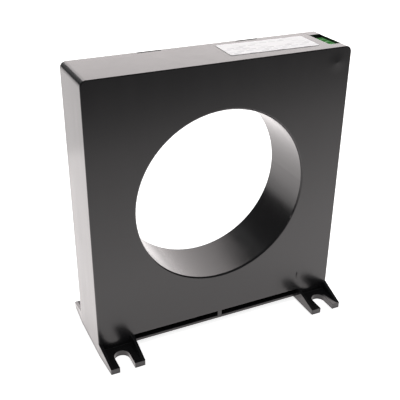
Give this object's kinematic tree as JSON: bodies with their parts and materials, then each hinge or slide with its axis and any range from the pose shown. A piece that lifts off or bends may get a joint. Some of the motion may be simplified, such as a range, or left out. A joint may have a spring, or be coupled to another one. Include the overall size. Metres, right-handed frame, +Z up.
{
  "type": "current sense transformer",
  "caption": "Black moulded window-type current transformer on slotted feet, with a white label and a green terminal block.",
  "frame": {"origin": "centre of the bounding box at the mounting surface", "axes": "+X to the right across the width, +Y from the front face through the window to the rear, +Z up"},
  "size_m": [0.18, 0.082, 0.1912],
  "materials": {
    "black_plastic": "gloss",
    "white_label": "matte",
    "core_steel": "satin",
    "case_plastic": "matte",
    "foam": "matte",
    "copper_wire": "gloss",
    "tape": "satin",
    "screen_steel": "satin",
    "board": "matte",
    "green_plastic": "satin",
    "plated_steel": "satin",
    "brass": "satin",
    "lead_red": "satin",
    "lead_blue": "satin"
  },
  "bodies": {
    "root": {"housing": "black_plastic", "rear_cover": "black_plastic", "rating_label": "white_label", "ring_core": "core_steel", "core_case_base": "case_plastic", "core_case_lid": "case_plastic", "core_pads": "foam", "secondary_winding": "copper_wire", "secondary_leads": "lead_red", "winding_tape": "tape", "test_winding": "lead_blue", "screen_ring": "screen_steel", "front_cushion": "foam", "rear_cushion": "foam", "terminal_board": "board", "terminal_block": "green_plastic", "terminal_screws": "plated_steel", "wire_clamps": "brass", "terminal_pins": "plated_steel", "suppressor_diode": "black_plastic", "diode_leads": "plated_steel"}
  },
  "joints": []
}
